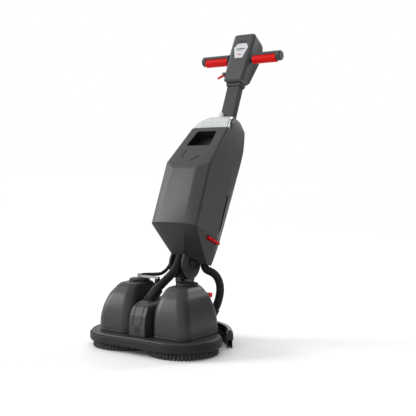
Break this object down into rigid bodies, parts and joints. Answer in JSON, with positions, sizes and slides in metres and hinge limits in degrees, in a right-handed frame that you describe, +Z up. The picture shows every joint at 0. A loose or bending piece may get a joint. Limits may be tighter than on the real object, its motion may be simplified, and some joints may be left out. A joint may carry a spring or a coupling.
{
  "type": "wet dry floor scrubber",
  "caption": "Upright battery floor scrubber with contra-rotating disc brushes, deck water tanks, double-jointed neck, leaning faceted body with clear lid, and a T-handle with paddles.",
  "frame": {"origin": "floor level, at the middle of the bounding box", "axes": "+Z up, -Y towards the brushes' front, +Y towards the operator, +X to the machine's left as the operator looks forward"},
  "size_m": [0.434, 0.6716, 0.9926],
  "materials": {
    "graphite_plastic": "fine-grained moulding",
    "charcoal_plastic": "fine-grained moulding",
    "black_plastic": "satin",
    "gloss_black": "polished",
    "red_plastic": "satin",
    "grey_plastic": "satin",
    "clear_plastic": "clear, slightly smoked",
    "label_foil": "satin",
    "steel": "machined",
    "cast_alloy": "dark coated",
    "bristle": "bristles",
    "rubber": "matt"
  },
  "bodies": {
    "deck": {"deck_housing": "graphite_plastic", "bumper": "rubber", "motor_cover": "graphite_plastic", "hose_cuff": "black_plastic", "pedestal": "cast_alloy", "steer_pin": "steel", "brush_motor": "steel", "solution_valve": "black_plastic", "solution_rail": "grey_plastic", "wheel_axle": "steel", "hose_front": "rubber", "hose_rear": "rubber", "solution_hose": "rubber"},
    "brush_left": {"brush_gear_left": "black_plastic", "brush_block_left": "black_plastic", "bristles_left": "bristle"},
    "brush_right": {"brush_gear_right": "black_plastic", "brush_block_right": "black_plastic", "bristles_right": "bristle"},
    "pinion": {"drive_pinion": "steel"},
    "idler": {"idler_gear": "steel"},
    "tank_left": {"clean_tank_left": "graphite_plastic"},
    "tank_right": {"clean_tank_right": "graphite_plastic"},
    "cap_left": {"tank_cap_left": "black_plastic"},
    "cap_right": {"tank_cap_right": "black_plastic"},
    "release_left": {"tank_release_left": "red_plastic"},
    "release_right": {"tank_release_right": "red_plastic"},
    "wheel_left": {"transport_wheel_left": "rubber"},
    "wheel_right": {"transport_wheel_right": "rubber"},
    "squeegee": {"squeegee_body": "gloss_black", "squeegee_blade_front": "rubber", "squeegee_blade_rear": "rubber", "suction_elbow": "black_plastic"},
    "neck": {"yoke": "cast_alloy", "tilt_pin": "steel"},
    "body": {"lower_housing": "charcoal_plastic", "rear_housing": "graphite_plastic", "suction_motor": "steel", "post": "charcoal_plastic", "collar": "charcoal_plastic", "pod_front": "graphite_plastic", "pod_rear": "charcoal_plastic", "label_plate": "label_foil", "control_panel": "black_plastic", "handlebar": "steel", "grip_left": "graphite_plastic", "grip_right": "graphite_plastic"},
    "clip": {"tank_clip": "red_plastic"},
    "waste": {"waste_tank": "graphite_plastic", "float_cage": "grey_plastic"},
    "lid": {"waste_lid": "clear_plastic"},
    "float": {"float_ball": "red_plastic"},
    "battery": {"battery_pack": "black_plastic"},
    "latch": {"battery_latch": "red_plastic"},
    "paddle_left": {"trigger_left": "red_plastic"},
    "paddle_right": {"trigger_right": "red_plastic"},
    "lever": {"lock_lever": "red_plastic"},
    "power": {"button_power": "grey_plastic"},
    "suction": {"button_suction": "grey_plastic"},
    "water": {"button_water": "grey_plastic"}
  },
  "joints": [
    {"name": "brush_left_spin", "type": "hinge", "parent": "deck", "child": "brush_left", "pos_m": [-0.104, -0.223, 0.03], "axis": [0, 0, 1], "continuous": true},
    {"name": "brush_right_spin", "type": "hinge", "parent": "deck", "child": "brush_right", "pos_m": [0.104, -0.223, 0.03], "axis": [0, 0, 1], "continuous": true},
    {"name": "pinion_spin", "type": "hinge", "parent": "deck", "child": "pinion", "pos_m": [-0.02, -0.223, 0.038], "axis": [0, 0, 1], "continuous": true},
    {"name": "idler_spin", "type": "hinge", "parent": "deck", "child": "idler", "pos_m": [0.02, -0.223, 0.038], "axis": [0, 0, 1], "continuous": true},
    {"name": "tank_left_slide", "type": "slide", "parent": "deck", "child": "tank_left", "axis": [-1, 0, 0], "range_m": [0, 0.1]},
    {"name": "tank_right_slide", "type": "slide", "parent": "deck", "child": "tank_right", "axis": [1, 0, 0], "range_m": [0, 0.1]},
    {"name": "cap_left_turn", "type": "hinge", "parent": "tank_left", "child": "cap_left", "pos_m": [-0.09, -0.182, 0.192], "axis": [0, 0, 1], "range_deg": [0, 90]},
    {"name": "cap_right_turn", "type": "hinge", "parent": "tank_right", "child": "cap_right", "pos_m": [0.09, -0.182, 0.192], "axis": [0, 0, -1], "range_deg": [0, 90]},
    {"name": "release_left_press", "type": "slide", "parent": "tank_left", "child": "release_left", "axis": [0, -1, 0], "range_m": [0, 0.003], "stiffness_N_per_m": 600},
    {"name": "release_right_press", "type": "slide", "parent": "tank_right", "child": "release_right", "axis": [0, -1, 0], "range_m": [0, 0.003], "stiffness_N_per_m": 600},
    {"name": "wheel_left_spin", "type": "hinge", "parent": "deck", "child": "wheel_left", "pos_m": [-0.069, -0.065, 0.034], "axis": [1, 0, 0], "continuous": true},
    {"name": "wheel_right_spin", "type": "hinge", "parent": "deck", "child": "wheel_right", "pos_m": [0.069, -0.065, 0.034], "axis": [1, 0, 0], "continuous": true},
    {"name": "squeegee_lift", "type": "slide", "parent": "deck", "child": "squeegee", "axis": [0, 0, 1], "range_m": [0, 0.02]},
    {"name": "neck_steer", "type": "hinge", "parent": "deck", "child": "neck", "pos_m": [0, -0.07, 0.188], "axis": [0, 1, 0], "range_deg": [-30, 30]},
    {"name": "body_tilt", "type": "hinge", "parent": "neck", "child": "body", "pos_m": [0, -0.07, 0.237], "axis": [-1, 0, 0], "range_deg": [-23, 35], "deforming": ["hose_front", "hose_rear", "solution_hose"]},
    {"name": "clip_swing", "type": "hinge", "parent": "body", "child": "clip", "pos_m": [0.082, -0.00744, 0.29736], "axis": [0, 0.3907, 0.9205], "range_deg": [0, 50]},
    {"name": "waste_tank_slide", "type": "slide", "parent": "body", "child": "waste", "axis": [0, -0.9205, 0.3907], "range_m": [0, 0.12]},
    {"name": "lid_hinge", "type": "hinge", "parent": "waste", "child": "lid", "pos_m": [0, 0.06979, 0.66359], "axis": [1, 0, 0], "range_deg": [0, 100]},
    {"name": "float_slide", "type": "slide", "parent": "waste", "child": "float", "axis": [0, 0.3907, 0.9205], "range_m": [0, 0.04]},
    {"name": "battery_slide", "type": "slide", "parent": "body", "child": "battery", "axis": [0, 0.9205, -0.3907], "range_m": [0, 0.1]},
    {"name": "latch_press", "type": "slide", "parent": "battery", "child": "latch", "axis": [0, -0.9205, 0.3907], "range_m": [0, 0.0035], "stiffness_N_per_m": 600},
    {"name": "trigger_left_squeeze", "type": "slide", "parent": "body", "child": "paddle_left", "axis": [0, 0.3907, 0.9205], "range_m": [0, 0.0035], "stiffness_N_per_m": 1200},
    {"name": "trigger_right_squeeze", "type": "slide", "parent": "body", "child": "paddle_right", "axis": [0, 0.3907, 0.9205], "range_m": [0, 0.0035], "stiffness_N_per_m": 1200},
    {"name": "lever_swing", "type": "hinge", "parent": "body", "child": "lever", "pos_m": [-0.046, 0.22554, 0.85136], "axis": [0, 0.9205, -0.3907], "range_deg": [0, 25], "stiffness_Nm_per_rad": 0.5},
    {"name": "power_press", "type": "slide", "parent": "body", "child": "power", "axis": [0, -0.3907, -0.9205], "range_m": [0, 0.002], "stiffness_N_per_m": 500},
    {"name": "suction_press", "type": "slide", "parent": "body", "child": "suction", "axis": [0, -0.3907, -0.9205], "range_m": [0, 0.002], "stiffness_N_per_m": 500},
    {"name": "water_press", "type": "slide", "parent": "body", "child": "water", "axis": [0, -0.3907, -0.9205], "range_m": [0, 0.002], "stiffness_N_per_m": 500}
  ],
  "couplings": [
    {"joint": "pinion_spin", "follows": "brush_left_spin", "ratio": -3.2},
    {"joint": "idler_spin", "follows": "brush_left_spin", "ratio": 3.2},
    {"joint": "brush_right_spin", "follows": "brush_left_spin", "ratio": -1}
  ]
}
